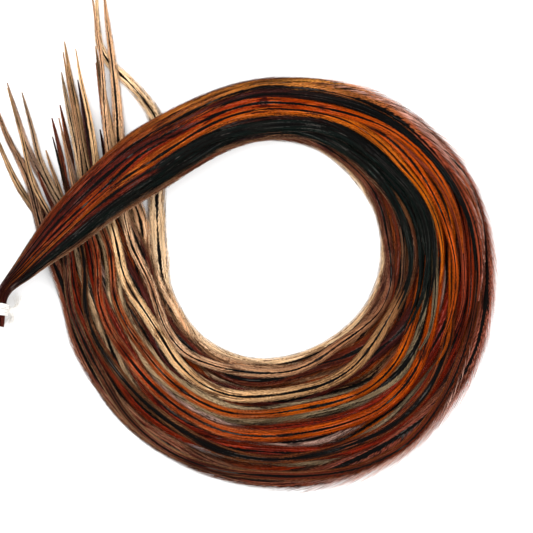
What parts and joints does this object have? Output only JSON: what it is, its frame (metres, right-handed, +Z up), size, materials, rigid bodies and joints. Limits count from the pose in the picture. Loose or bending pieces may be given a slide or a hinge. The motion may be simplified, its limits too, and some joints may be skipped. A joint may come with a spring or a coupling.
{
  "type": "rooster hackle feather bunch",
  "caption": "Long narrow rooster hackle feathers bound at their quills with cotton and curled into one flat loop, with the tips fanned out under the bound end.",
  "frame": {"origin": "on the surface that the bunch lies on, under the middle of its box", "axes": "+Z up, away from the surface; +Y away from a viewer who stands over the bunch, towards the longest tips; +X to the viewer's right, away from the bound end"},
  "size_m": [0.1258, 0.125, 0.0088],
  "materials": {
    "tan_vane": "satin",
    "orange_vane": "satin",
    "mahogany_vane": "satin",
    "wine_vane": "satin",
    "black_vane": "glossy",
    "olive_vane": "satin",
    "cotton": "matt"
  },
  "bodies": {
    "root": {"tan_feather_01": "tan_vane", "tan_feather_02": "tan_vane", "tan_feather_03": "tan_vane", "tan_feather_04": "tan_vane", "tan_feather_05": "tan_vane", "tan_feather_06": "tan_vane", "tan_feather_07": "tan_vane", "tan_feather_08": "tan_vane", "tan_feather_09": "tan_vane", "tan_feather_10": "tan_vane", "tan_feather_11": "tan_vane", "tan_feather_12": "tan_vane", "tan_feather_13": "tan_vane", "tan_feather_14": "tan_vane", "orange_feather_01": "orange_vane", "orange_feather_02": "orange_vane", "orange_feather_03": "orange_vane", "orange_feather_04": "orange_vane", "orange_feather_05": "orange_vane", "orange_feather_06": "orange_vane", "orange_feather_07": "orange_vane", "orange_feather_08": "orange_vane", "orange_feather_09": "orange_vane", "mahogany_feather_01": "mahogany_vane", "mahogany_feather_02": "mahogany_vane", "mahogany_feather_03": "mahogany_vane", "mahogany_feather_04": "mahogany_vane", "mahogany_feather_05": "mahogany_vane", "mahogany_feather_06": "mahogany_vane", "mahogany_feather_07": "mahogany_vane", "mahogany_feather_08": "mahogany_vane", "wine_feather_01": "wine_vane", "wine_feather_02": "wine_vane", "wine_feather_03": "wine_vane", "wine_feather_04": "wine_vane", "wine_feather_05": "wine_vane", "black_feather_01": "black_vane", "black_feather_02": "black_vane", "black_feather_03": "black_vane", "black_feather_04": "black_vane", "black_feather_05": "black_vane", "black_feather_06": "black_vane", "black_feather_07": "black_vane", "olive_feather_01": "olive_vane", "olive_feather_02": "olive_vane", "olive_feather_03": "olive_vane", "cotton_binding": "cotton"}
  },
  "joints": []
}
